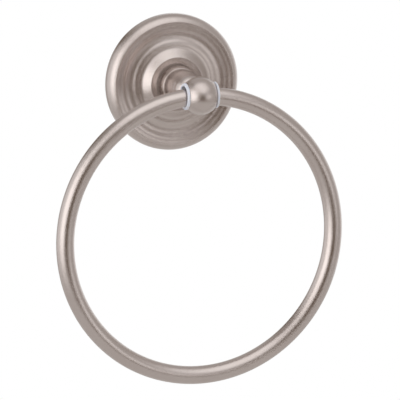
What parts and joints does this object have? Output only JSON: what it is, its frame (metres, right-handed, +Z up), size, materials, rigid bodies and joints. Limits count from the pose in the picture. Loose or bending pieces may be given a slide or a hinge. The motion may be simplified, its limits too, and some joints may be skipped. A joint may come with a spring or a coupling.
{
  "type": "towel ring",
  "caption": "Wall-mounted towel ring: a turned round wall plate, a short post ending in a ball, and a plain tube ring that swings in nylon bushes.",
  "frame": {"origin": "centre of the back of the mounting bracket, on the wall", "axes": "+Y into the wall, -Y into the room, +Z up, X along the ring's hinge line"},
  "size_m": [0.1588, 0.0573, 0.1907],
  "materials": {
    "plated_metal": "satin nickel plate over die-cast zinc and brass tube, with fine turning and brush marks",
    "nylon": "translucent natural nylon",
    "zinc_plated_steel": "clear zinc plate on pressed and headed steel",
    "blackened_steel": "black oxide"
  },
  "bodies": {
    "wall_fitting": {"wall_plate": "plated_metal", "post": "plated_metal", "post_screw": "zinc_plated_steel", "lock_washer": "zinc_plated_steel", "mounting_bracket": "zinc_plated_steel", "set_screw": "blackened_steel", "bush_left": "nylon", "bush_right": "nylon"},
    "ring": {"ring": "plated_metal"}
  },
  "joints": [
    {"name": "ring_swing", "type": "hinge", "parent": "wall_fitting", "child": "ring", "pos_m": [0, -0.0472, 0], "axis": [-1, 0, 0], "range_deg": [-16, 196]}
  ]
}
